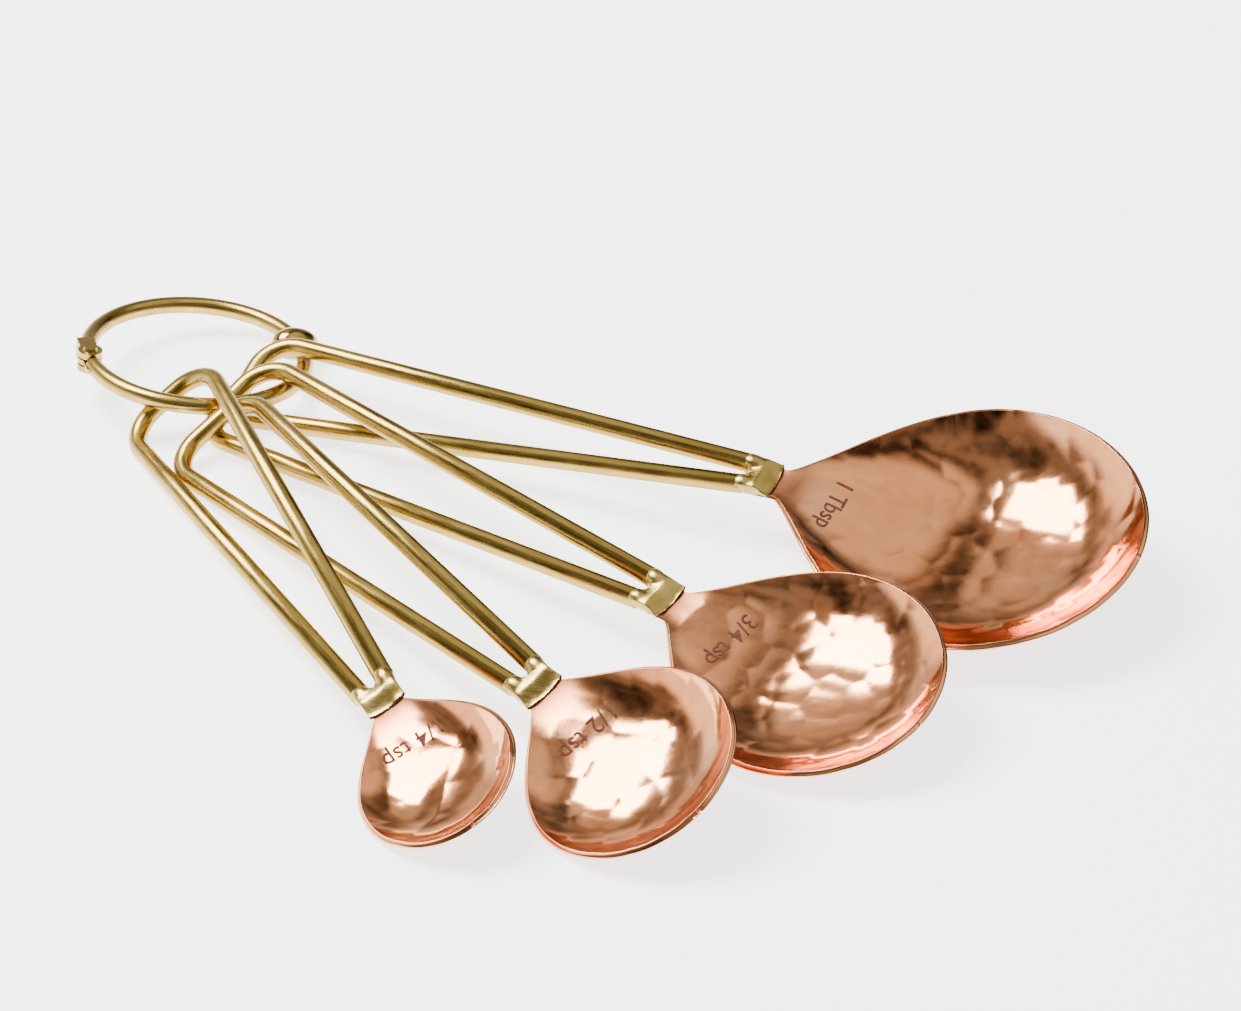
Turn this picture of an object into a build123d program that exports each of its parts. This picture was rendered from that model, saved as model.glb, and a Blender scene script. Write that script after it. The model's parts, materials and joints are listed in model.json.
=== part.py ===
"""Four measuring spoons hung on a split brass ring, in millimetres.

The spoons lie fanned out on a table at z = 0, each one shingled on the next larger one. A spoon is drawn
in its own frame, with its neck at the origin, x towards the tip of its bowl, y to its left and z up, and is
then laid in place. The ring is drawn flat round its own centre and is laid in place the same way.
"""
import math
import os
from dataclasses import dataclass

from build123d import *

# Stock sizes.
HANDLE_WIRE = 3.2
RING_WIRE = 3.0
SHEET = 0.9

# Handle loop: one wire bent to a long triangle, its two ends side by side in the neck tab. It is a little
# twisted against its bowl, by a different amount on each spoon.
HANDLE_LENGTH = 99.0
HANDLE_WIDTH = 18.0
HANDLE_BEND = 6.0
WIRE_END = 2.0
WIRE_END_GAP = 0.9
WIRE_HEIGHT = 0.5

# Bowl: the outline flares from the neck to its widest place and ends in half an ellipse.
WIDEST_AT = 0.567
FLARE_POWER = 0.64
FLARE_STEPS = 12
KEEL_POWER = 0.85
WALL_POWER = 3.4
SHEET_MARGIN = 1.5
TONGUE_LENGTH = 1.5
TONGUE_DISH = 0.25
ROWS_ALONG = 41
ROWS_ACROSS = 21

# Neck tab: it lies on the copper tongue and holds the wire ends.
TAB_BACK = 5.5
TAB_FRONT = 1.0
TAB_RIDGE = 1.4
TAB_TOP = 2.4
TAB_BACK_TOP = 1.8
TAB_FRONT_TOP = 0.8
TAB_SIDE = 0.4
NOTCH_DEPTH = 2.2

# Ring: two half hoops, hinged on a rivet at one side and closed by a bead on a pin at the other.
RING_RADIUS = 18.8
RING_CENTRE = (-67.96, 58.42, 6.14)
RING_RIGHT_DOWN = 7.0
RING_FRONT_UP = 3.5
HINGE_ANGLE = 198.0
CLASP_ANGLE = 22.0
KNUCKLE_RADIUS = 2.1
KNUCKLE_HEIGHT = 3.6
FORK_SLOT = 1.5
TONGUE_THICKNESS = 0.9
KNUCKLE_SHANK = 4.6
TONGUE_NARROWING = 0.2
SLOT_CLEARANCE = 0.4
RIVET_RADIUS = 0.7
RIVET_CLEARANCE = 0.05
RIVET_HEAD_RADIUS = 1.3
RIVET_HEAD_HEIGHT = 0.5
RIVET_HEAD_TAPER = 30.0
BEAD_RADIUS = 2.8
PIN_RADIUS = 0.65
PIN_BORE_RADIUS = 1.15
PIN_REACH = 2.1
PIN_ROOT = 0.5
BEAD_GAP = 0.35
BEAD_WALL = 0.6


@dataclass
class Spoon:
    """One spoon's own sizes, and where its neck lies, seen from above, from the ring's centre."""

    name: str
    bowl_length: float
    bowl_width: float
    bowl_depth: float
    neck_length: float
    neck_width: float
    neck_from_ring: tuple
    heading: float
    rise: float
    roll: float
    loop_twist: float

    @property
    def widest(self):
        """Distance from the neck to the widest place of the bowl."""
        return WIDEST_AT * self.bowl_length

    def place(self, bowl):
        """Where the spoon lies: turned by heading, rise and roll, with its bowl resting on the table."""
        turn = Rot(0, 0, self.heading) * Rot(0, -self.rise, 0) * Rot(self.roll, 0, 0)
        neck_x = RING_CENTRE[0] + self.neck_from_ring[0]
        neck_y = RING_CENTRE[1] + self.neck_from_ring[1]
        return Pos(neck_x, neck_y, -(turn * bowl).bounding_box().min.Z) * turn


SPOONS = [
    Spoon("quarter_teaspoon", 32.3, 25.4, 4.3, 0.5, 6.2, (38.5, -104.5), -64.9, 0.9, 27.0, 6.6),
    Spoon("half_teaspoon", 38.3, 33.8, 5.3, 0.3, 7.0, (61.9, -103.3), -54.3, 2.4, 28.0, -1.3),
    Spoon("three_quarter_teaspoon", 49.8, 41.0, 5.8, 1.5, 7.0, (80.9, -78.5), -42.0, 2.0, 17.5, 3.8),
    Spoon("tablespoon", 62.5, 53.5, 10.2, 1.5, 7.2, (98.1, -47.8), -26.1, 4.1, 14.5, 5.1),
]


# ---- Bowls -----------------------------------------------------------------------------------------------
def half_width(spoon, x):
    """Half the width of the bowl's outline at x, from the neck to the widest place."""
    along = max(x - spoon.neck_length, 0) / (spoon.widest - spoon.neck_length)
    flare = math.sin(math.pi / 2 * along**FLARE_POWER) ** 2
    return spoon.neck_width / 2 + (spoon.bowl_width - spoon.neck_width) / 2 * flare


def inside_height(spoon, x, y):
    """Height of the bowl's inside over the rim plane: zero on the outline, lowest at the widest place."""
    if x < spoon.widest:
        dip = math.sin(math.pi / 2 * (max(x, 0) / spoon.widest) ** KEEL_POWER) ** 2
        depth = TONGUE_DISH + (spoon.bowl_depth - TONGUE_DISH) * dip
        reach = abs(y) / half_width(spoon, x)
    else:
        depth = spoon.bowl_depth
        tip = spoon.bowl_length - spoon.widest
        reach = math.hypot((x - spoon.widest) / tip, 2 * y / spoon.bowl_width)
    return depth * (reach**WALL_POWER - 1)


def inside_face(spoon):
    """The bowl's inside as one smooth face, a little wider than the outline all round."""
    rows = []
    start = -TONGUE_LENGTH - SHEET_MARGIN
    length = spoon.bowl_length + SHEET_MARGIN - start
    for i in range(ROWS_ALONG):
        x = start + length * i / (ROWS_ALONG - 1)
        half = half_width(spoon, min(x, spoon.widest)) + SHEET_MARGIN
        across = [half * (2 * j / (ROWS_ACROSS - 1) - 1) for j in range(ROWS_ACROSS)]
        rows.append([Vector(x, y, inside_height(spoon, x, y)) for y in across])
    return Face.make_surface_from_array_of_points(rows, tol=0.01, max_deg=5)


def make_bowl(spoon):
    """Copper bowl: sheet under the inside face, cut straight down round its outline, with a tongue behind."""
    flare = [spoon.widest * i / FLARE_STEPS for i in range(FLARE_STEPS + 1)]
    tip = spoon.bowl_length - spoon.widest
    with BuildPart() as bowl:
        with BuildSketch(Plane.XY.offset(-2 * spoon.bowl_depth)):
            with BuildLine():
                left = Spline([(x, half_width(spoon, x)) for x in flare])
                right = Spline([(x, -half_width(spoon, x)) for x in flare])
                EllipticalCenterArc(
                    (spoon.widest, 0), tip, spoon.bowl_width / 2, start_angle=-90, arc_size=180
                )
                tongue_y = spoon.neck_width / 2
                Polyline(left @ 0, (-TONGUE_LENGTH, tongue_y), (-TONGUE_LENGTH, -tongue_y), right @ 0)
            make_face()
        extrude(amount=4 * spoon.bowl_depth)
        thicken(inside_face(spoon), amount=SHEET, normal_override=(0, 0, -1), mode=Mode.INTERSECT)
    return bowl.part


# ---- Handles ---------------------------------------------------------------------------------------------
def make_handle(spoon):
    """Handle loop: round wire along a long triangle with rounded corners, open and twisted at the neck."""
    end_y = (HANDLE_WIRE + WIRE_END_GAP) / 2
    corner_y = HANDLE_WIDTH / 2
    with BuildPart() as handle:
        with BuildLine(Plane.XY.offset(WIRE_HEIGHT)) as path:
            FilletPolyline(
                (-WIRE_END, -end_y),
                (-HANDLE_LENGTH, -corner_y),
                (-HANDLE_LENGTH, corner_y),
                (-WIRE_END, end_y),
                radius=HANDLE_BEND,
            )
        with BuildSketch(Plane(path.line @ 0, z_dir=path.line % 0)):
            Circle(HANDLE_WIRE / 2)
        sweep()
    return Rot(spoon.loop_twist, 0, 0) * handle.part


def make_tab(spoon, handle):
    """Neck tab: a brass lug round the two wire ends that tapers forward over the copper tongue."""
    wire_side = (HANDLE_WIRE + WIRE_END_GAP) / 2 + HANDLE_WIRE / 2
    back_y = wire_side + TAB_SIDE
    front_y = spoon.neck_width / 2 + TAB_SIDE
    notch_y = WIRE_END_GAP / 2
    with BuildPart() as tab:
        with BuildSketch(Plane.XY.offset(-SHEET)):
            with BuildLine():
                Polyline(
                    (TAB_FRONT, -front_y),
                    (TAB_FRONT, front_y),
                    (-TAB_BACK, back_y),
                    (-TAB_BACK, notch_y),
                    (-TAB_BACK + NOTCH_DEPTH, 0),
                    (-TAB_BACK, -notch_y),
                    (-TAB_BACK, -back_y),
                    close=True,
                )
            make_face()
        extrude(amount=SHEET + TAB_TOP)
        with BuildSketch(Plane.XZ):
            with BuildLine():
                Polyline(
                    (-TAB_BACK, -SHEET),
                    (-TONGUE_LENGTH, -SHEET),
                    (-TONGUE_LENGTH, 0),
                    (TAB_FRONT, 0),
                    (TAB_FRONT, TAB_FRONT_TOP),
                    (-TAB_RIDGE, TAB_TOP),
                    (-WIRE_END, TAB_TOP),
                    (-TAB_BACK, TAB_BACK_TOP),
                    close=True,
                )
            make_face()
        extrude(amount=2 * back_y, both=True, mode=Mode.INTERSECT)
        add(handle, mode=Mode.SUBTRACT)
    return tab.part


# ---- Ring ------------------------------------------------------------------------------------------------
RING_PLACE = Pos(*RING_CENTRE) * Rot(0, RING_RIGHT_DOWN, 0) * Rot(-RING_FRONT_UP, 0, 0)
HINGE_PLANE = Plane(Rot(0, 0, HINGE_ANGLE) * Pos(RING_RADIUS, 0, 0) * Rot(0, 0, 90))
CLASP_PLANE = Plane(Rot(0, 0, CLASP_ANGLE) * Pos(RING_RADIUS, 0, 0) * Rot(0, 0, 90))


def make_hoop(start_angle, end_angle):
    """A stretch of ring wire between two angles."""
    with BuildPart() as hoop:
        with BuildLine() as path:
            CenterArc((0, 0), RING_RADIUS, start_angle, end_angle - start_angle)
        with BuildSketch(Plane(path.line @ 0, z_dir=path.line % 0)):
            Circle(RING_WIRE / 2)
        sweep()
    return hoop.part


def arc_angle(length):
    """The angle that a length takes up along the ring."""
    return math.degrees(length / RING_RADIUS)


def make_far_half():
    """Far half: hoop with the forked knuckle of the hinge at one end, let into the bead at the other."""
    wire = make_hoop(CLASP_ANGLE + arc_angle(BEAD_WALL), HINGE_ANGLE - arc_angle(KNUCKLE_RADIUS))
    with BuildPart() as half:
        add(wire)
        with BuildSketch(HINGE_PLANE.offset(-KNUCKLE_HEIGHT / 2)):
            Circle(KNUCKLE_RADIUS)
            with Locations((-KNUCKLE_SHANK / 2, 0)):
                Rectangle(KNUCKLE_SHANK, RING_WIRE)
        extrude(amount=KNUCKLE_HEIGHT)
        with BuildSketch(HINGE_PLANE.offset(-FORK_SLOT / 2)):
            Circle(KNUCKLE_RADIUS + SLOT_CLEARANCE)
        extrude(amount=FORK_SLOT, mode=Mode.SUBTRACT)
        with BuildSketch(HINGE_PLANE.offset(-KNUCKLE_HEIGHT)):
            Circle(RIVET_RADIUS)
        extrude(amount=2 * KNUCKLE_HEIGHT, mode=Mode.SUBTRACT)
    return half.part


def make_near_half():
    """Near half: hoop with the flat tongue of the hinge at one end and the clasp pin at the other."""
    wire_start = HINGE_ANGLE + arc_angle(KNUCKLE_RADIUS + SLOT_CLEARANCE)
    wire_end = 360 + CLASP_ANGLE - arc_angle(BEAD_RADIUS + BEAD_GAP)
    wire = make_hoop(wire_start, wire_end)
    with BuildPart() as half:
        add(wire)
        with BuildSketch(HINGE_PLANE.offset(-TONGUE_THICKNESS / 2)):
            Circle(KNUCKLE_RADIUS)
            with Locations((KNUCKLE_SHANK / 2, 0)):
                Rectangle(KNUCKLE_SHANK, RING_WIRE - TONGUE_NARROWING)
        extrude(amount=TONGUE_THICKNESS)
        with BuildSketch(HINGE_PLANE.offset(-TONGUE_THICKNESS)):
            Circle(RIVET_RADIUS + RIVET_CLEARANCE)
        extrude(amount=2 * TONGUE_THICKNESS, mode=Mode.SUBTRACT)
        pin_root = Plane(CLASP_PLANE.origin, x_dir=CLASP_PLANE.y_dir, z_dir=CLASP_PLANE.x_dir)
        with BuildSketch(pin_root.offset(-BEAD_RADIUS - BEAD_GAP - PIN_ROOT)):
            Circle(PIN_RADIUS)
        extrude(amount=PIN_REACH + BEAD_GAP + PIN_ROOT)
    return half.part


def make_rivet():
    """Hinge rivet: a shank through fork and tongue with a domed head at each end."""
    with BuildPart() as rivet:
        with BuildSketch(HINGE_PLANE.offset(-KNUCKLE_HEIGHT / 2)):
            Circle(RIVET_RADIUS)
        extrude(amount=KNUCKLE_HEIGHT)
        for side in (1, -1):
            with BuildSketch(HINGE_PLANE.offset(side * KNUCKLE_HEIGHT / 2)):
                Circle(RIVET_HEAD_RADIUS)
            extrude(amount=side * RIVET_HEAD_HEIGHT, taper=RIVET_HEAD_TAPER)
    return rivet.part


def make_bead(far_half):
    """Clasp bead: a ball on the end of the far half, bored on its other side to close over the pin."""
    bore = Plane(CLASP_PLANE.origin, x_dir=CLASP_PLANE.y_dir, z_dir=CLASP_PLANE.x_dir)
    with BuildPart() as bead:
        with Locations(CLASP_PLANE):
            Sphere(BEAD_RADIUS)
        with BuildSketch(bore.offset(-BEAD_RADIUS)):
            Circle(PIN_BORE_RADIUS)
        extrude(amount=BEAD_RADIUS - BEAD_WALL / 2, mode=Mode.SUBTRACT)
        add(far_half, mode=Mode.SUBTRACT)
    return bead.part


# ---- Export ----------------------------------------------------------------------------------------------
def save(shape, node, place):
    """Lay a finished piece in place and write it as one node."""
    shape = place * shape
    shape.label = node
    export_step(shape, f"parts/{node}.step")
    return shape


os.makedirs("parts", exist_ok=True)
for spoon in SPOONS:
    copper_bowl = make_bowl(spoon)
    wire_loop = make_handle(spoon)
    place = spoon.place(copper_bowl)
    save(copper_bowl, f"{spoon.name}_bowl", place)
    save(wire_loop, f"{spoon.name}_handle_loop", place)
    save(make_tab(spoon, wire_loop), f"{spoon.name}_neck_tab", place)

ring_far = make_far_half()
save(ring_far, "ring_far_half", RING_PLACE)
save(make_near_half(), "ring_near_half", RING_PLACE)
save(make_rivet(), "ring_hinge_rivet", RING_PLACE)
save(make_bead(ring_far), "ring_clasp_bead", RING_PLACE)
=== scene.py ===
"""Hammered copper measuring spoons with brass wire handles on a split ring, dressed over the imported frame.

Every spoon is built flat in its own frame: neck at the origin, x to the tip of the bowl, y to its left, z up.
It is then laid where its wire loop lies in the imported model. Lengths in the spoon's frame are in millimetres.
"""

import json
import math
import random
from dataclasses import dataclass

import bmesh
import bpy
import numpy as np
from mathutils import Matrix, Vector


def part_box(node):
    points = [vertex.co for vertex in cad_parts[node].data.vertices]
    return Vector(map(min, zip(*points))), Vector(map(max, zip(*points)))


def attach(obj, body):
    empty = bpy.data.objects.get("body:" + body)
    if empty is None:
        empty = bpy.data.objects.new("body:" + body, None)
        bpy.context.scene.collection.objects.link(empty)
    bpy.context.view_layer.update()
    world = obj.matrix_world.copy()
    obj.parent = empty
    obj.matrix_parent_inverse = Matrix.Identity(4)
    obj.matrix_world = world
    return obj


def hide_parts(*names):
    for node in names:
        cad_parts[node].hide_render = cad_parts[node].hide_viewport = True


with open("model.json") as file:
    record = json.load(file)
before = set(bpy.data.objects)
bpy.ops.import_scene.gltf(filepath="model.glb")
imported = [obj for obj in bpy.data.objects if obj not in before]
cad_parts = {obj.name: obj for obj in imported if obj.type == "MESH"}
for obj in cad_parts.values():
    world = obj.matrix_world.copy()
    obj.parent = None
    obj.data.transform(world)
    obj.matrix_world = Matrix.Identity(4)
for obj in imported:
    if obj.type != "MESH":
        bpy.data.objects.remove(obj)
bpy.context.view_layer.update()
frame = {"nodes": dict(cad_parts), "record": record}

MM = 0.001

# Sizes shared with the CAD source.
HANDLE_WIRE = 3.2
WIRE_END = 2.0
WIRE_END_GAP = 0.9
WIRE_HEIGHT = 0.5
HANDLE_LENGTH = 99.0
HANDLE_WIDTH = 18.0
HANDLE_BEND = 6.0
WIRE_SPREAD = (HANDLE_WIDTH - HANDLE_WIRE - WIRE_END_GAP) / 2 / (HANDLE_LENGTH - WIRE_END)
SHEET = 0.9
WIDEST_AT = 0.567
FLARE_POWER = 0.64
KEEL_POWER = 0.85
WALL_POWER = 3.4
TONGUE_LENGTH = 1.5
TONGUE_DISH = 0.25
TAB_BACK = 5.5
TAB_FRONT = 1.0

# The centre of the ring, in metres, from the record.
RING_CENTRE = list(frame["record"]["mounts"][0]["pos_m"])

# The visible wires stop inside the neck tabs.
WIRE_SEEN = 4.4
WIRE_SIDES = 24
BEND_STEPS = 10
MAP_UNIT = 10.0

# The visible neck tabs.
TAB_STATIONS = 60
TAB_COLUMNS = 65
TAB_NOTCH = 2.4
TAB_NOTCH_HALF = 0.75
TAB_OVERLAP = 0.15
TAB_RAGGED = 0.07
TAB_SKIN = 0.07
TAB_WAIST = 0.40
TAB_LIP = 0.30
TAB_LAP_BOW = 0.5
TAB_RISE = 1.45
TAB_SWELL_BACK = 2.2
TAB_SWELL_FRONT = 3.1818
TAB_SINK = 2.2
WIRE_FALL = 3.0
TAB_BLEND_BACK = 0.01
TAB_BLEND_MORE = 0.12
TAB_ROUNDING = 3.5
TAB_EDGE_FROM = 0.8
TAB_EDGE_KEPT = 0.35
TAB_EDGE_RAISED = 0.3
TAB_UNDER_BACK = 0.79
TAB_UNDER_MORE = 0.19
TAB_BITE = 0.2
TAB_THINNEST = 0.1

# The clasp's knob.
KNOB_LONG = 8.3
KNOB_THICK = 5.7
KNOB_TAPER = 0.10
KNOB_INWARD = 0.9
KNOB_RAISED = 0.7
KNOB_SEGMENTS = 48
KNOB_RINGS = 32

# The ring's edges.
RING_BEVEL = 0.12
RING_BEVEL_STEPS = 3
RING_BEVEL_FROM = 40.0

# Heat tint of the copper next to the brazed neck.
HEAT_REACH = 4.2
HEAT_TINT = 0.95
HEAT_COLOUR = (0.15, 0.046, 0.022, 1)
HEAT_ROUGHNESS = 0.46

# Grid and hammering of the copper sheet.
SHEET_SEEN = 0.84
ROWS_TONGUE = 8
ROWS_FLARE = 110
ROWS_TIP = 70
COLUMNS = 150
COLUMN_CROWDING = 0.98
RIM_STEPS = 5
RIM_INSET = 0.6
RIM_CALM = 0.8
NECK_CALM = 10.0
NECK_DENTS = 0.25
DENT_SPACING = 5.4
DENT_SHAKE = 0.36
DENT_HEIGHT = 0.075
DENT_VARIETY = 0.8
DENT_MEAN = 0.7
DENT_BLEND = 0.012
DENT_THROUGH = 0.5

# The measures written near the necks.
LETTER_LIFT = 0.06
LETTER_DEPTH = 0.12
LETTER_HEIGHT = 3.9
LETTER_BOLD = 0.03
LETTER_CURVE_STEPS = 3
LETTER_CUTS = 3
LETTER_EDGE = 0.35

# The studio: places and sizes in metres, angles in degrees, power in watts.
FLOOR_HALF = 3.0
FLOOR_GLOW = 2.8
SPOONS_AT = Vector((0.03, -0.03, 0.01))
SOFTBOX_AZIMUTH = -64.0
SOFTBOX_ELEVATION = 57.0
SOFTBOX_DISTANCE = 1.0
SOFTBOX_SIZE = (0.56, 0.54)
SOFTBOX_POWER = 24.0
STUDIO_COLOUR = (1.0, 0.97, 0.93, 1)

# The studio's surroundings. A band is an axis, and where along it the light begins and is full.
UP = (0.0, 0.0, 1.0)
LEFT = (-1.0, 0.0, 0.0)
BEHIND_LEFT = (-0.57, 0.82, 0.0)
ABOVE_BEHIND = (-0.32, 0.60, 0.73)
OVERHEAD_RIGHT = (0.42, 0.0, 0.87)
SWEEP = (0.8, (BEHIND_LEFT, 0.35, 0.75), (UP, 0.52, 0.30))
HORIZON = (0.8, (UP, 0.20, 0.02))
SIDE = (2.0, (LEFT, 0.55, 0.85), (UP, 0.45, 0.25))
PATCH = (0.5, (ABOVE_BEHIND, 0.95, 0.985))
SCRIM = (0.9, (OVERHEAD_RIGHT, 0.78, 0.90))
ROOM_LIGHT = 0.36
ROOM_CLOUDS = 2.2
ROOM_DIM = 0.35
ROOM_BRIGHT = 0.7

# The camera, in millimetres and degrees.
VIEW_ELEVATION = 33.0
VIEW_DISTANCE = 602.35
VIEW_FROM_RING = (73.6, -38.8, 0.0)
VIEW_LENS = 105.43
VIEW_SENSOR = 36.0


@dataclass
class Spoon:
    """One spoon's bowl, the twist of its loop, and the measure written in it."""

    name: str
    bowl_length: float
    bowl_width: float
    bowl_depth: float
    neck_length: float
    neck_width: float
    loop_twist: float
    measure: str
    measure_at: float
    seed: int

    @property
    def widest(self):
        """Distance from the neck to the widest place of the bowl."""
        return WIDEST_AT * self.bowl_length


SPOONS = [
    Spoon("quarter_teaspoon", 32.3, 25.4, 4.3, 0.5, 6.2, 6.6, "1/4 tsp", 8.3, 11),
    Spoon("half_teaspoon", 38.3, 33.8, 5.3, 0.3, 7.0, -1.3, "1/2 tsp", 9.8, 23),
    Spoon("three_quarter_teaspoon", 49.8, 41.0, 5.8, 1.5, 7.0, 3.8, "3/4 tsp", 12.0, 37),
    Spoon("tablespoon", 62.5, 53.5, 10.2, 1.5, 7.2, 5.1, "1 Tbsp", 10.4, 41),
]


# ---- Node materials ------------------------------------------------------------------------------
def arithmetic(tree, operation, first, second):
    """The result of an arithmetic node over two sockets or numbers."""
    node = tree.nodes.new("ShaderNodeMath")
    node.operation = operation
    for socket, value in zip(node.inputs, (first, second)):
        if isinstance(value, float):
            socket.default_value = value
        else:
            tree.links.new(value, socket)
    return node.outputs["Value"]


class Nodes:
    """A small hand on a material's node tree: make nodes, join sockets."""

    def __init__(self, name):
        self.material = bpy.data.materials.new(name)
        self.material.use_nodes = True
        self.tree = self.material.node_tree
        self.shader = self.tree.nodes["Principled BSDF"]

    def make(self, kind, **inputs):
        """A node of this kind, with values or sockets for its inputs."""
        node = self.tree.nodes.new(kind)
        for key, value in inputs.items():
            socket = node.inputs[key.replace("_", " ")]
            if isinstance(value, bpy.types.NodeSocket):
                self.tree.links.new(value, socket)
            else:
                socket.default_value = value
        return node

    def link(self, source, target):
        self.tree.links.new(source, target)

    def ramp(self, factor, *stops):
        """A colour ramp over (position, colour) stops; a number stands for a grey."""
        node = self.make("ShaderNodeValToRGB", Fac=factor)
        elements = node.color_ramp.elements
        while len(elements) < len(stops):
            elements.new(0.5)
        for element, (place, colour) in zip(elements, stops):
            element.position = place
            element.color = (colour,) * 3 + (1,) if isinstance(colour, float) else (*colour, 1)
        return node.outputs["Color"]

    def noise(self, vector, scale, detail=4.0, roughness=0.55):
        """A noise factor over these coordinates."""
        return self.make(
            "ShaderNodeTexNoise", Vector=vector, Scale=scale, Detail=detail, Roughness=roughness
        ).outputs["Fac"]

    def stretched(self, vector, scale):
        """These coordinates, scaled by a different amount along each axis."""
        return self.make("ShaderNodeMapping", Vector=vector, Scale=scale).outputs["Vector"]

    def surface(self, colour, roughness, metallic=1.0):
        """Joins a colour and a roughness to the shader."""
        self.link(colour, self.shader.inputs["Base Color"])
        self.link(roughness, self.shader.inputs["Roughness"])
        self.shader.inputs["Metallic"].default_value = metallic

    def mixed(self, factor, first, second, kind="FLOAT"):
        """Goes from a socket's value to a fixed one as the factor goes from 0 to 1."""
        node = self.tree.nodes.new("ShaderNodeMix")
        node.data_type = kind
        self.link(factor, node.inputs["Factor"])
        self.link(first, node.inputs["A"])
        node.inputs["B"].default_value = second
        return node.outputs["Result"]

    def bump(self, height, strength, distance):
        """Raises the shading normal by this height and feeds it to the shader."""
        node = self.make("ShaderNodeBump", Height=height, Strength=strength, Distance=distance)
        if self.shader.inputs["Normal"].is_linked:
            self.link(self.shader.inputs["Normal"].links[0].from_socket, node.inputs["Normal"])
        self.link(node.outputs["Normal"], self.shader.inputs["Normal"])


def copper_inside():
    """Polished copper: cloudy tarnish, polishing scratches, and a dull brown heat tint towards the neck."""
    made = Nodes("copper_polished")
    place = made.make("ShaderNodeTexCoord").outputs["Object"]
    tint_map = made.make("ShaderNodeTexCoord").outputs["UV"]
    heat = made.make("ShaderNodeSeparateXYZ", Vector=tint_map).outputs["X"]
    clean = made.ramp(
        made.noise(place, 90.0, 5.0, 0.6),
        (0.3, (0.87, 0.315, 0.122)),
        (0.55, (0.93, 0.385, 0.168)),
        (0.75, (0.95, 0.46, 0.235)),
    )
    smears = made.noise(made.stretched(place, (1.0, 2.4, 1.0)), 210.0, 6.0, 0.65)
    polished = made.ramp(smears, (0.3, 0.07), (0.7, 0.16))
    made.surface(
        made.mixed(heat, clean, HEAT_COLOUR, "RGBA"),
        made.mixed(heat, polished, HEAT_ROUGHNESS),
    )
    scratches = made.noise(made.stretched(place, (900.0, 5200.0, 900.0)), 1.0, 3.0, 0.7)
    made.bump(scratches, 0.05, 0.00002)
    made.bump(made.noise(place, 420.0, 3.0, 0.5), 0.35, 0.00006)
    return made.material


def copper_outside_painted_shade():
    """The bowls' outside: the same copper, less polished, and darker and browner as painted shade standing in
    for the shade beneath the bowls.
    """
    made = Nodes("copper_outside_painted_shade")
    place = made.make("ShaderNodeTexCoord").outputs["Object"]
    clouds = made.noise(place, 70.0, 5.0, 0.6)
    smears = made.noise(place, 260.0, 6.0, 0.65)
    # Painted shade: these dark brown colours, far below the inside copper's, stand in for the shade under the
    # bowls.
    made.surface(
        made.ramp(clouds, (0.3, (0.28, 0.082, 0.033)), (0.7, (0.46, 0.145, 0.062))),
        made.ramp(smears, (0.3, 0.18), (0.7, 0.34)),
    )
    made.bump(made.noise(place, 500.0, 4.0, 0.6), 0.4, 0.00008)
    return made.material


def brass_wire():
    """Satin drawn brass: fine lines along the wire, with olive tarnish between them."""
    made = Nodes("brass_wire")
    along = made.make("ShaderNodeTexCoord").outputs["UV"]
    place = made.make("ShaderNodeTexCoord").outputs["Object"]
    lines = made.noise(made.stretched(along, (1.6, 14.0, 1.0)), 1.0, 4.0, 0.6)
    clouds = made.noise(place, 130.0, 4.0, 0.6)
    tarnish = arithmetic(
        made.tree,
        "ADD",
        arithmetic(made.tree, "MULTIPLY", lines, 0.65),
        arithmetic(made.tree, "MULTIPLY", clouds, 0.35),
    )
    colour = made.ramp(
        tarnish,
        (0.3, (0.32, 0.205, 0.042)),
        (0.5, (0.44, 0.295, 0.070)),
        (0.7, (0.54, 0.380, 0.105)),
    )
    made.surface(colour, made.ramp(lines, (0.3, 0.19), (0.7, 0.33)))
    made.bump(lines, 0.22, 0.00005)
    made.bump(made.noise(place, 500.0, 3.0, 0.6), 0.12, 0.00004)
    return made.material


def brass_cast():
    """Brushed brass of the neck tabs: filed, a little pitted."""
    made = Nodes("brass_filed")
    place = made.make("ShaderNodeTexCoord").outputs["Object"]
    clouds = made.noise(place, 240.0, 5.0, 0.6)
    filed = made.noise(made.stretched(place, (700.0, 2600.0, 700.0)), 1.0, 4.0, 0.7)
    colour = made.ramp(
        clouds,
        (0.3, (0.33, 0.225, 0.055)),
        (0.55, (0.46, 0.325, 0.09)),
        (0.75, (0.58, 0.43, 0.15)),
    )
    made.surface(colour, made.ramp(filed, (0.3, 0.20), (0.7, 0.34)))
    made.bump(filed, 0.2, 0.00005)
    made.bump(clouds, 0.3, 0.00010)
    return made.material


def brass_worn(name, rough_low, rough_high):
    """Brass of the ring and its knob, worn smooth by handling, with a little tarnish and small dings."""
    made = Nodes(name)
    place = made.make("ShaderNodeTexCoord").outputs["Object"]
    clouds = made.noise(place, 260.0, 4.0, 0.55)
    made.surface(
        made.ramp(clouds, (0.3, (0.34, 0.215, 0.045)), (0.7, (0.56, 0.390, 0.110))),
        made.ramp(clouds, (0.3, rough_high), (0.7, rough_low)),
    )
    made.bump(made.noise(place, 420.0, 3.0, 0.5), 0.2, 0.00008)
    return made.material


def letter_dark():
    """Dark oxide of the letters and of the line where brass laps over copper."""
    made = Nodes("letter_oxide")
    place = made.make("ShaderNodeTexCoord").outputs["Object"]
    clouds = made.noise(place, 900.0, 4.0, 0.6)
    made.surface(
        made.ramp(clouds, (0.3, (0.080, 0.024, 0.013)), (0.7, (0.16, 0.052, 0.028))),
        made.ramp(clouds, (0.3, 0.60), (0.7, 0.80)),
        metallic=0.0,
    )
    made.shader.inputs["Specular IOR Level"].default_value = 0.2
    return made.material


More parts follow.
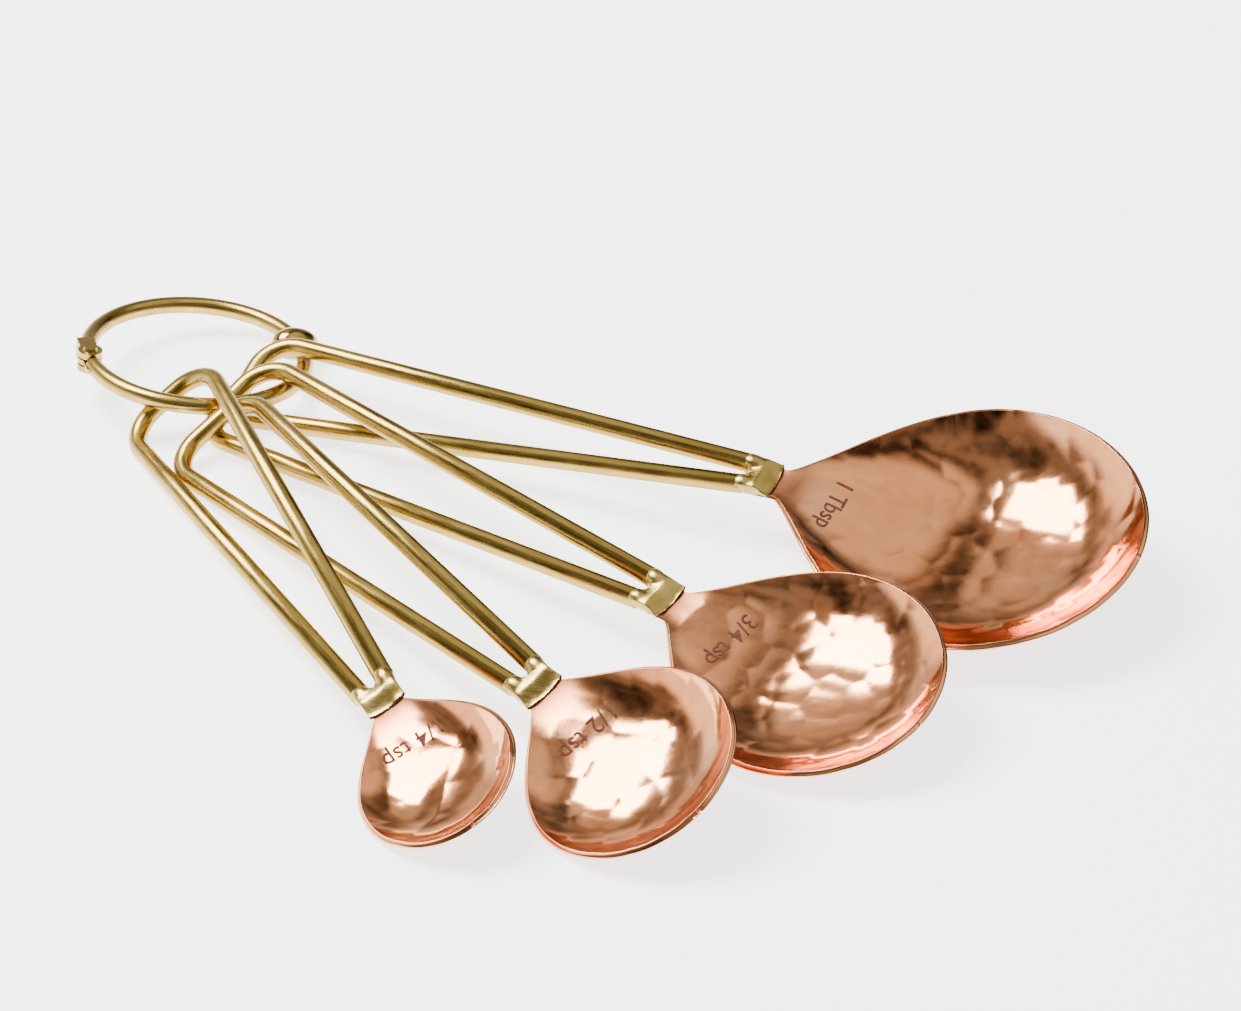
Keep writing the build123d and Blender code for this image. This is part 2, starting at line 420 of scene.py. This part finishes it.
def floor_white():
    """Plain pale studio floor with a trace of unevenness and a glow that thins the shadows."""
    made = Nodes("floor_white")
    place = made.make("ShaderNodeTexCoord").outputs["Object"]
    colour = made.ramp(made.noise(place, 3.0, 2.0, 0.5), (0.3, 0.93), (0.7, 0.95))
    made.link(colour, made.shader.inputs["Base Color"])
    made.shader.inputs["Roughness"].default_value = 0.9
    made.shader.inputs["Specular IOR Level"].default_value = 0.1
    made.shader.inputs["Emission Color"].default_value = (1, 1, 1, 1)
    made.shader.inputs["Emission Strength"].default_value = FLOOR_GLOW
    return made.material


COPPER = copper_inside()
COPPER_OUTSIDE_PAINTED_SHADE = copper_outside_painted_shade()
BRASS_WIRE = brass_wire()
BRASS_CAST = brass_cast()
BRASS_KNOB = brass_worn("brass_knob", 0.11, 0.22)
BRASS_RING = brass_worn("brass_ring", 0.20, 0.31)
LETTER = letter_dark()


# ---- Mesh helpers --------------------------------------------------------------------------------
def in_scene(name, data):
    """A new object with this data, linked to the scene."""
    made = bpy.data.objects.new(name, data)
    bpy.context.collection.objects.link(made)
    return made


def new_piece(name, vertices, faces, materials, place, body):
    """An object from millimetre points in a local frame, laid in place in metres, riding on a body."""
    mesh = bpy.data.meshes.new(name)
    mesh.from_pydata([place @ (Vector(p) * MM) for p in vertices], [], faces)
    for material in materials:
        mesh.materials.append(material)
    mesh.polygons.foreach_set("use_smooth", [True] * len(mesh.polygons))
    mesh.validate()
    piece = in_scene(name, mesh)
    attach(piece, body)
    return piece


def wrap(points, normals, edge, thickness):
    """Rows of points round a sheet's rim, from its upper edge to its lower one."""
    rings = []
    for step in range(1, RIM_STEPS):
        turn = math.pi * step / RIM_STEPS
        outward = edge * math.sin(turn) * thickness / 2
        downward = normals * (1 - math.cos(turn)) * thickness / 2
        rings.append(points + outward - downward)
    return rings


def grid_faces(rows, columns, offset=0, flip=False):
    """Quads between the points of a grid, row by row."""
    faces = []
    for i in range(rows - 1):
        for j in range(columns - 1):
            a = offset + i * columns + j
            quad = (a, a + 1, a + columns + 1, a + columns)
            faces.append(quad[::-1] if flip else quad)
    return faces


def shape_mesh(shape, name, material):
    """The mesh of a finished bmesh, with one material."""
    mesh = bpy.data.meshes.new(name)
    shape.to_mesh(mesh)
    shape.free()
    mesh.materials.append(material)
    return mesh


def grid_border(rows, columns):
    """Indices round the outside of a grid: first row, last column, last row back, first column back."""
    border = list(range(columns))
    border += [i * columns + columns - 1 for i in range(1, rows)]
    border += [(rows - 1) * columns + j for j in range(columns - 2, -1, -1)]
    border += [i * columns for i in range(rows - 2, 0, -1)]
    return border


def spoon_frame(spoon):
    """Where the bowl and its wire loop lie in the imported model, read from the shape of the loop."""
    loop = frame["nodes"][f"{spoon.name}_handle_loop"].data
    points = np.array([v.co for v in loop.vertices])
    loop.calc_loop_triangles()
    corners = points[np.array([t.vertices for t in loop.loop_triangles])]
    cross = np.cross(corners[:, 1] - corners[:, 0], corners[:, 2] - corners[:, 0])
    areas = np.linalg.norm(cross, axis=1) / 2
    middles = corners.mean(axis=1)
    centre = (middles * areas[:, None]).sum(axis=0) / areas.sum()
    spread = middles - centre
    _, axes = np.linalg.eigh((spread * areas[:, None]).T @ spread)
    up = axes[:, 0] * np.sign(axes[2, 0])
    ahead = axes[:, 2]
    bowl_low, bowl_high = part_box(f"{spoon.name}_bowl")
    ahead = ahead * np.sign(ahead @ (np.array((bowl_low + bowl_high) / 2) - centre))
    left = np.cross(up, ahead)
    neck = centre + ahead * (((points - centre) @ ahead).max() + WIRE_END * MM) - up * WIRE_HEIGHT * MM
    lay = Matrix.Identity(4)
    for column, axis in enumerate((ahead, left, up, neck)):
        for row in range(3):
            lay[row][column] = axis[row]
    return lay @ Matrix.Rotation(math.radians(-spoon.loop_twist), 4, "X"), lay


# ---- Bowls ---------------------------------------------------------------------------------------
def half_width(spoon, x):
    """Half the width of the bowl's outline at x, from the tongue to the tip."""
    if x > spoon.widest:
        reach = min((x - spoon.widest) / (spoon.bowl_length - spoon.widest), 1)
        return spoon.bowl_width / 2 * math.sqrt(1 - reach * reach)
    along = max(x - spoon.neck_length, 0) / (spoon.widest - spoon.neck_length)
    flare = math.sin(math.pi / 2 * along**FLARE_POWER) ** 2
    return spoon.neck_width / 2 + (spoon.bowl_width - spoon.neck_width) / 2 * flare


def inside_height(spoon, x, y):
    """Height of the bowl's inside over the rim plane: zero on the outline, lowest at the widest place."""
    if x < spoon.widest:
        dip = math.sin(math.pi / 2 * (max(x, 0) / spoon.widest) ** KEEL_POWER) ** 2
        depth = TONGUE_DISH + (spoon.bowl_depth - TONGUE_DISH) * dip
        reach = abs(y) / half_width(spoon, x)
    else:
        depth = spoon.bowl_depth
        tip = spoon.bowl_length - spoon.widest
        reach = math.hypot((x - spoon.widest) / tip, 2 * y / spoon.bowl_width)
    return depth * (reach**WALL_POWER - 1)


def hammer_marks(spoon):
    """Centres of the hammer blows: a staggered grid, shaken with the spoon's own seed."""
    rng = random.Random(spoon.seed)
    marks = []
    row_step = DENT_SPACING * math.sqrt(3) / 2
    rows = int(spoon.bowl_length / row_step) + 4
    columns = int(spoon.bowl_width / DENT_SPACING) + 4
    for i in range(rows):
        for j in range(columns):
            x = (i - 1.5) * row_step + rng.uniform(-DENT_SHAKE, DENT_SHAKE) * DENT_SPACING
            y = (j - columns / 2 + 0.5 * (i % 2)) * DENT_SPACING
            y += rng.uniform(-DENT_SHAKE, DENT_SHAKE) * DENT_SPACING
            marks.append((x, y, rng.uniform(0.0, 1.0)))
    return np.array(marks)


def dents(marks, points):
    """Depth of the hammered surface at each point: shallow dishes that meet in soft ridges."""
    x, y = points[:, 0:1], points[:, 1:2]
    far = ((x - marks[:, 0]) ** 2 + (y - marks[:, 1]) ** 2) / (DENT_SPACING / 2) ** 2
    far = far * DENT_HEIGHT + marks[:, 2] * DENT_HEIGHT * DENT_VARIETY
    near = far.min(axis=1)
    soft = -DENT_BLEND * np.log(np.exp(-(far - near[:, None]) / DENT_BLEND).sum(axis=1)) + near
    away = np.clip(points[:, 0] / NECK_CALM, 0.0, 1.0)
    return (soft - DENT_HEIGHT * DENT_MEAN) * (NECK_DENTS + (1 - NECK_DENTS) * away)


def bowl_sheet(spoon):
    """Grid over the bowl's inside, as rows of points and their upward normals."""
    rows = [-TONGUE_LENGTH * (1 - i / ROWS_TONGUE) for i in range(ROWS_TONGUE)]
    rows += [spoon.widest * i / ROWS_FLARE for i in range(ROWS_FLARE)]
    tip = spoon.bowl_length - spoon.widest
    rows += [spoon.widest + tip * math.sin(math.pi / 2 * i / ROWS_TIP) for i in range(ROWS_TIP)]
    crowded = math.pi / 2 * COLUMN_CROWDING
    points = []
    for x in rows:
        half = half_width(spoon, x)
        inset = (half - RIM_INSET) / half if half > 2 * RIM_INSET else 0.5
        shrunk = spoon.widest + (x - spoon.widest) * (1 - RIM_INSET / tip) if x > spoon.widest else x
        for j in range(COLUMNS):
            across = 2 * j / (COLUMNS - 1) - 1
            y = half * inset * math.sin(crowded * across) / math.sin(crowded)
            points.append((shrunk, y, inside_height(spoon, shrunk, y)))
    return np.array(points), len(rows)


def grid_normals(points, rows, columns):
    """Normals of a grid surface from its neighbours."""
    grid = points.reshape(rows, columns, 3)
    along = np.gradient(grid, axis=0)
    across = np.gradient(grid, axis=1)
    normals = np.cross(along, across).reshape(-1, 3)
    return normals / np.linalg.norm(normals, axis=1)[:, None]


def make_bowl(spoon, lay):
    """Hammered copper bowl: dented inside, smoother outside, and a rounded rim between them."""
    smooth, rows = bowl_sheet(spoon)
    normals = grid_normals(smooth, rows, COLUMNS)
    marks = hammer_marks(spoon)
    fade = np.clip(-smooth[:, 2] / RIM_CALM, 0.0, 1.0)
    hammered = dents(marks, smooth) * fade
    inside = smooth + normals * hammered[:, None]
    under = smooth - normals * (SHEET_SEEN - DENT_THROUGH * hammered)[:, None]
    border = np.array(grid_border(rows, COLUMNS))
    rim_points = smooth[border]
    travel = np.roll(rim_points, -1, axis=0) - np.roll(rim_points, 1, axis=0)
    outward = np.cross(travel, normals[border])
    outward[:, 2] = 0
    outward /= np.maximum(np.linalg.norm(outward, axis=1), 1e-9)[:, None]
    rings = wrap(inside[border], normals[border], outward, SHEET_SEEN)
    vertices = np.vstack([inside, under] + rings)
    count = rows * COLUMNS
    faces = grid_faces(rows, COLUMNS)
    outside_from = len(faces)
    faces += grid_faces(rows, COLUMNS, count, flip=True)
    round_rim = np.arange(len(border))
    chain = [border]
    chain += [2 * count + len(border) * i + round_rim for i in range(RIM_STEPS - 1)]
    chain += [border + count]
    for upper, lower in zip(chain, chain[1:]):
        for k in range(len(border)):
            after = (k + 1) % len(border)
            faces.append((int(upper[after]), int(upper[k]), int(lower[k]), int(lower[after])))
    piece = new_piece(
        f"{spoon.name}_copper_bowl", vertices, faces, (COPPER, COPPER_OUTSIDE_PAINTED_SHADE), lay, spoon.name
    )
    # The outside faces take the copper darkened with painted shade.
    for polygon in piece.data.polygons[outside_from : 2 * outside_from]:
        polygon.material_index = 1
    heats = [HEAT_TINT * math.exp(-((max(x, 0) / HEAT_REACH) ** 2)) for x, _, _ in vertices]
    layer = piece.data.uv_layers.new(name="heat")
    for loop, corner in zip(piece.data.loops, layer.data):
        corner.uv = (heats[loop.vertex_index], 0.5)
    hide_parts(f"{spoon.name}_bowl")
    return marks


# ---- Wires ---------------------------------------------------------------------------------------
def tube(path, radius, sides):
    """Round wire along a path: points, faces and a texture map that runs along the wire."""
    path = [Vector(p) for p in path]
    heads = [(path[min(i + 1, len(path) - 1)] - path[max(i - 1, 0)]).normalized() for i in range(len(path))]
    side = heads[0].orthogonal().normalized()
    vertices, maps, run = [], [], 0.0
    for i, (point, head) in enumerate(zip(path, heads)):
        side = (side - head * side.dot(head)).normalized()
        up = head.cross(side)
        run += (point - path[i - 1]).length if i else 0.0
        for k in range(sides):
            turn = 2 * math.pi * k / sides
            vertices.append(point + (side * math.cos(turn) + up * math.sin(turn)) * radius)
            maps.append((run / MAP_UNIT, k / sides))
    faces = []
    for i in range(len(path) - 1):
        for k in range(sides):
            after = (k + 1) % sides
            faces.append((i * sides + k, i * sides + after, (i + 1) * sides + after, (i + 1) * sides + k))
    faces.append(tuple(range(sides))[::-1])
    faces.append(tuple((len(path) - 1) * sides + k for k in range(sides)))
    return vertices, faces, maps


def map_wire(piece, maps, sides):
    """Lays the wire's texture map on its faces, without a smeared seam where it closes round the wire."""
    layer = piece.data.uv_layers.new(name="along")
    for polygon in piece.data.polygons:
        rounds = [piece.data.loops[i].vertex_index % sides for i in polygon.loop_indices]
        wraps = max(rounds) == sides - 1 and min(rounds) == 0 and len(rounds) == 4
        for index in polygon.loop_indices:
            u, v = maps[piece.data.loops[index].vertex_index]
            layer.data[index].uv = (u, v + 1.0 if wraps and v == 0 else v)


def rounded(corners, radius):
    """A path through the corners, with the inner ones rounded to a radius."""
    corners = [Vector(c) for c in corners]
    path = [corners[0]]
    for before, corner, after in zip(corners, corners[1:], corners[2:]):
        back = (before - corner).normalized()
        ahead = (after - corner).normalized()
        half_angle = back.angle(ahead) / 2
        middle = corner + (back + ahead).normalized() * radius / math.sin(half_angle)
        start = corner + back * radius / math.tan(half_angle) - middle
        end = corner + ahead * radius / math.tan(half_angle) - middle
        sweep = start.angle(end)
        for k in range(BEND_STEPS + 1):
            share = k / BEND_STEPS
            turned = start * math.sin((1 - share) * sweep) + end * math.sin(share * sweep)
            path.append(middle + turned / math.sin(sweep))
    return path + [corners[-1]]


def make_handle(spoon, lay):
    """Handle loop: satin brass wire along a long rounded triangle."""
    end_y = (HANDLE_WIRE + WIRE_END_GAP) / 2 + WIRE_SPREAD * (WIRE_SEEN - WIRE_END)
    corner_y = HANDLE_WIDTH / 2
    corners = [
        (-WIRE_SEEN, -end_y, WIRE_HEIGHT),
        (-HANDLE_LENGTH, -corner_y, WIRE_HEIGHT),
        (-HANDLE_LENGTH, corner_y, WIRE_HEIGHT),
        (-WIRE_SEEN, end_y, WIRE_HEIGHT),
    ]
    vertices, faces, maps = tube(rounded(corners, HANDLE_BEND), HANDLE_WIRE / 2, WIRE_SIDES)
    piece = new_piece(f"{spoon.name}_wire_loop", vertices, faces, (BRASS_WIRE,), lay, spoon.name)
    map_wire(piece, maps, WIRE_SIDES)
    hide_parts(f"{spoon.name}_handle_loop")


def smooth_step(value):
    """Eases from 0 to 1 as the value goes from 0 to 1."""
    held = min(max(value, 0.0), 1.0)
    return held * held * (3 - 2 * held)


def wire_top(spoon, x, y):
    """Height of the two wires' tops in the tab, sinking away ahead of where the wires end."""
    swallowed = smooth_step((x + TAB_BACK) / (TAB_BACK - WIRE_SEEN))
    radius = HANDLE_WIRE / 2 - TAB_SKIN + 2 * TAB_SKIN * swallowed
    twist = math.radians(spoon.loop_twist)
    sunk = TAB_SINK * smooth_step((x + WIRE_SEEN) / (TAB_FRONT + WIRE_SEEN))
    tops = []
    for side in (-1, 1):
        flat = side * ((HANDLE_WIRE + WIRE_END_GAP) / 2 + WIRE_SPREAD * max(-x - WIRE_END, 0))
        middle_y = flat * math.cos(twist) - WIRE_HEIGHT * math.sin(twist)
        middle_z = flat * math.sin(twist) + WIRE_HEIGHT * math.cos(twist)
        off = abs(y - middle_y) / radius
        crown = radius * math.sqrt(max(1 - off * off, 0.0))
        tops.append(middle_z - sunk + crown - WIRE_FALL * max(off - 1, 0))
    return max(tops)


def tab_place(spoon, share, across, ragged):
    """Where a point of the tab lies in plan, and the line that the wires' end is centred on."""
    back_half = WIRE_END_GAP / 2 + HANDLE_WIRE + WIRE_SPREAD * (TAB_BACK - WIRE_END) + TAB_SKIN
    front_half = spoon.neck_width / 2 + TAB_OVERLAP
    half = back_half + (front_half - back_half) * share**2 - TAB_WAIST * math.sin(math.pi * share)
    middle = -WIRE_HEIGHT * math.sin(math.radians(spoon.loop_twist)) * (1 - share)
    aside = half * math.sin(math.pi / 2 * across)
    start = -TAB_BACK + TAB_NOTCH * math.exp(-((aside / TAB_NOTCH_HALF) ** 2))
    end = TAB_FRONT - TAB_LAP_BOW * across * across + ragged
    return start + (end - start) * share, middle + aside, middle


def tab_height(spoon, x, y, seat, share, across):
    """Height of the tab's top: its plate and the wires' tops, blended, and rounded down at the sides."""
    side = math.sqrt(max(1 - abs(across) ** TAB_ROUNDING, 0.0))
    swell = smooth_step((x + TAB_BACK) / TAB_SWELL_BACK) * smooth_step((TAB_FRONT - x) / TAB_SWELL_FRONT)
    plate = seat + TAB_LIP + TAB_RISE * swell * side
    wires = wire_top(spoon, x, y)
    blend = TAB_BLEND_BACK + TAB_BLEND_MORE * share
    height = (plate + wires + math.sqrt((plate - wires) ** 2 + blend)) / 2
    if abs(across) <= TAB_EDGE_FROM:
        return height
    edge = seat - TAB_BITE if x > -TONGUE_LENGTH else -SHEET + TAB_EDGE_RAISED + WIRE_HEIGHT
    return edge + (height - edge) * (TAB_EDGE_KEPT + (1 - TAB_EDGE_KEPT) * side)


def make_tab(spoon, lay):
    """Neck tab: a fan that the wires run into, with a rounded V between them, lapped over the copper."""
    rng = random.Random(spoon.seed + 100)
    ragged = [rng.uniform(-TAB_RAGGED, TAB_RAGGED) for _ in range(TAB_COLUMNS)]
    top, bottom = [], []
    for i in range(TAB_STATIONS):
        share = i / (TAB_STATIONS - 1)
        under = TAB_UNDER_BACK + TAB_UNDER_MORE * share
        for j in range(TAB_COLUMNS):
            across = 2 * j / (TAB_COLUMNS - 1) - 1
            x, y, middle = tab_place(spoon, share, across, ragged[j])
            seat = inside_height(spoon, x, min(abs(y), half_width(spoon, x)))
            height = tab_height(spoon, x, y, seat, share, across)
            floor = seat - TAB_BITE if x > -TONGUE_LENGTH else -SHEET
            top.append((x, y, height))
            bottom.append((x, middle + (y - middle) * under, min(height - TAB_THINNEST, floor)))
    count = len(top)
    faces = grid_faces(TAB_STATIONS, TAB_COLUMNS) + grid_faces(TAB_STATIONS, TAB_COLUMNS, count, flip=True)
    front = len(faces) + TAB_COLUMNS + TAB_STATIONS - 2
    border = grid_border(TAB_STATIONS, TAB_COLUMNS)
    for here, after in zip(border, border[1:] + border[:1]):
        faces.append((after, here, here + count, after + count))
    materials = (BRASS_CAST, LETTER)
    piece = new_piece(f"{spoon.name}_brass_tab", top + bottom, faces, materials, lay, spoon.name)
    for polygon in piece.data.polygons[front : front + TAB_COLUMNS - 1]:
        polygon.material_index = 1
    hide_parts(f"{spoon.name}_neck_tab")


def letter_outlines(spoon):
    """The measure as a flat shape in millimetres, cut finely enough to follow the hammered copper."""
    curve = bpy.data.curves.new(f"{spoon.name}_measure_text", "FONT")
    curve.body = spoon.measure
    curve.size = LETTER_HEIGHT
    curve.offset = LETTER_BOLD
    curve.align_x = "CENTER"
    curve.align_y = "CENTER"
    curve.resolution_u = LETTER_CURVE_STEPS
    maker = in_scene(curve.name, curve)
    flat = bpy.data.meshes.new_from_object(maker.evaluated_get(bpy.context.evaluated_depsgraph_get()))
    bpy.data.objects.remove(maker)
    shape = bmesh.new()
    shape.from_mesh(flat)
    bmesh.ops.triangulate(shape, faces=shape.faces)
    for _ in range(LETTER_CUTS):
        long_edges = [edge for edge in shape.edges if edge.calc_length() > LETTER_EDGE]
        bmesh.ops.subdivide_edges(shape, edges=long_edges, cuts=1)
        bmesh.ops.triangulate(shape, faces=shape.faces)
    return shape


def make_measure(spoon, lay, marks):
    """The measure in front of the neck: thin dark letters just proud of the copper, tops towards the tip."""
    shape = letter_outlines(spoon)
    points = np.array([(spoon.measure_at + v.co.y, -v.co.x, 0.0) for v in shape.verts])
    heights = np.array([inside_height(spoon, x, y) for x, y, _ in points])
    heights += dents(marks, points) * np.clip(-heights / RIM_CALM, 0.0, 1.0)
    for vertex, point, height in zip(shape.verts, points, heights):
        vertex.co = lay @ (Vector((point[0], point[1], height + LETTER_LIFT)) * MM)
    extruded = bmesh.ops.extrude_face_region(shape, geom=shape.faces[:])
    lower = [part for part in extruded["geom"] if isinstance(part, bmesh.types.BMVert)]
    down = lay.to_3x3() @ Vector((0, 0, -LETTER_DEPTH * MM))
    bmesh.ops.translate(shape, vec=down, verts=lower)
    bmesh.ops.recalc_face_normals(shape, faces=shape.faces)
    mesh = shape_mesh(shape, f"{spoon.name}_measure", LETTER)
    piece = in_scene(mesh.name, mesh)
    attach(piece, spoon.name)


for spoon in SPOONS:
    bowl_lay, loop_lay = spoon_frame(spoon)
    blows = make_bowl(spoon, bowl_lay)
    make_handle(spoon, loop_lay)
    make_tab(spoon, bowl_lay)
    make_measure(spoon, bowl_lay, blows)


# ---- Ring ----------------------------------------------------------------------------------------
for node in ("ring_near_half", "ring_far_half", "ring_hinge_rivet"):
    cad = frame["nodes"][node]
    cad.data.materials.clear()
    cad.data.materials.append(BRASS_RING)
    soften = cad.modifiers.new("soft_edges", "BEVEL")
    soften.width = RING_BEVEL * MM
    soften.segments = RING_BEVEL_STEPS
    soften.limit_method = "ANGLE"
    soften.angle_limit = math.radians(RING_BEVEL_FROM)


def make_knob():
    """Clasp bead: a polished egg-shaped knob on the ring's gate, its long axis along the ring's radius."""
    low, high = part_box("ring_clasp_bead")
    middle = (Vector(low) + Vector(high)) / 2
    outward = (middle - Vector(RING_CENTRE)).normalized()
    centre = middle - outward * KNOB_INWARD * MM + Vector((0, 0, KNOB_RAISED * MM))
    shape = bmesh.new()
    bmesh.ops.create_uvsphere(shape, u_segments=KNOB_SEGMENTS, v_segments=KNOB_RINGS, radius=1.0)
    for vertex in shape.verts:
        thin = KNOB_THICK / 2 * (1 - KNOB_TAPER * vertex.co.z) * MM
        vertex.co = Vector((vertex.co.x * thin, vertex.co.y * thin, vertex.co.z * KNOB_LONG / 2 * MM))
    turn = outward.to_track_quat("Z", "Y").to_matrix().to_4x4()
    bmesh.ops.transform(shape, matrix=Matrix.Translation(centre) @ turn, verts=shape.verts)
    mesh = shape_mesh(shape, "ring_bead_knob", BRASS_KNOB)
    mesh.polygons.foreach_set("use_smooth", [True] * len(mesh.polygons))
    piece = in_scene(mesh.name, mesh)
    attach(piece, "ring_gate")
    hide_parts("ring_clasp_bead")


make_knob()


# ---- Studio --------------------------------------------------------------------------------------
def make_floor():
    """A wide plain floor under the spoons."""
    mesh = bpy.data.meshes.new("floor")
    corners = [(x * FLOOR_HALF, y * FLOOR_HALF, 0) for x, y in ((-1, -1), (1, -1), (1, 1), (-1, 1))]
    mesh.from_pydata(corners, [], [(0, 1, 2, 3)])
    mesh.materials.append(floor_white())
    floor = in_scene("floor", mesh)


def aim(azimuth, elevation, distance):
    """A place seen from the bowls: azimuth 0 is away from the camera and 90 is to the right."""
    turn, rise = math.radians(azimuth), math.radians(elevation)
    flat = math.cos(rise)
    return SPOONS_AT + distance * Vector((math.sin(turn) * flat, math.cos(turn) * flat, math.sin(rise)))


def make_softbox():
    """A soft, nearly square light behind the spoons and to their left, facing them."""
    data = bpy.data.lights.new("softbox", "AREA")
    data.shape = "RECTANGLE"
    data.size, data.size_y = SOFTBOX_SIZE
    data.energy = SOFTBOX_POWER
    light = in_scene("softbox", data)
    light.location = aim(SOFTBOX_AZIMUTH, SOFTBOX_ELEVATION, SOFTBOX_DISTANCE)
    light.rotation_mode = "QUATERNION"
    light.rotation_quaternion = (SPOONS_AT - light.location).to_track_quat("-Z", "Y")


def eased(tree, value, begins, full):
    """Goes smoothly from 0, where a value begins, to 1, where it is full."""
    node = tree.nodes.new("ShaderNodeMapRange")
    node.interpolation_type = "SMOOTHSTEP"
    tree.links.new(value, node.inputs["Value"])
    node.inputs["From Min"].default_value = begins
    node.inputs["From Max"].default_value = full
    return node.outputs["Result"]


def glow(tree, direction, brightness, *bands):
    """The light from a pale area: its brightness, held to where all its bands are."""
    light = brightness
    for axis, begins, full in bands:
        along = tree.nodes.new("ShaderNodeVectorMath")
        along.operation = "DOT_PRODUCT"
        tree.links.new(direction, along.inputs[0])
        along.inputs[1].default_value = axis
        light = arithmetic(tree, "MULTIPLY", eased(tree, along.outputs["Value"], begins, full), light)
    return light


def make_studio():
    """Surroundings for the polished metal: a dim cloudy room, pale areas around it and a scrim overhead."""
    world = bpy.data.worlds.new("studio")
    bpy.context.scene.world = world
    world.use_nodes = True
    tree = world.node_tree
    direction = tree.nodes.new("ShaderNodeTexCoord").outputs["Generated"]
    clouds = tree.nodes.new("ShaderNodeTexNoise")
    tree.links.new(direction, clouds.inputs["Vector"])
    clouds.inputs["Scale"].default_value = ROOM_CLOUDS
    clouds.inputs["Detail"].default_value = 2.0
    cloudy = eased(tree, clouds.outputs["Fac"], ROOM_DIM, ROOM_BRIGHT)
    room = arithmetic(tree, "MULTIPLY", cloudy, ROOM_LIGHT)
    level = 0.0
    for area in (SWEEP, HORIZON, SIDE, PATCH):
        level = arithmetic(tree, "MAXIMUM", glow(tree, direction, *area), level)
    for also in (room, glow(tree, direction, *SCRIM)):
        level = arithmetic(tree, "ADD", level, also)
    tree.links.new(level, tree.nodes["Background"].inputs["Strength"])
    tree.nodes["Background"].inputs["Color"].default_value = STUDIO_COLOUR


def make_camera():
    """A long lens at the viewing angle, aimed at a point on the table near the middle of the set."""
    elevation = math.radians(VIEW_ELEVATION)
    target = Vector(RING_CENTRE[:2] + [0.0]) + Vector(VIEW_FROM_RING) * MM
    data = bpy.data.cameras.new("camera")
    data.sensor_width = VIEW_SENSOR
    data.lens = VIEW_LENS
    data.clip_start, data.clip_end = 0.01, 20.0
    camera = in_scene("camera", data)
    back = Vector((0, -math.cos(elevation), math.sin(elevation)))
    camera.location = target + back * VIEW_DISTANCE * MM
    camera.rotation_mode = "QUATERNION"
    camera.rotation_quaternion = (-back).to_track_quat("-Z", "Y")
    bpy.context.scene.camera = camera


make_floor()
make_camera()
make_softbox()
make_studio()
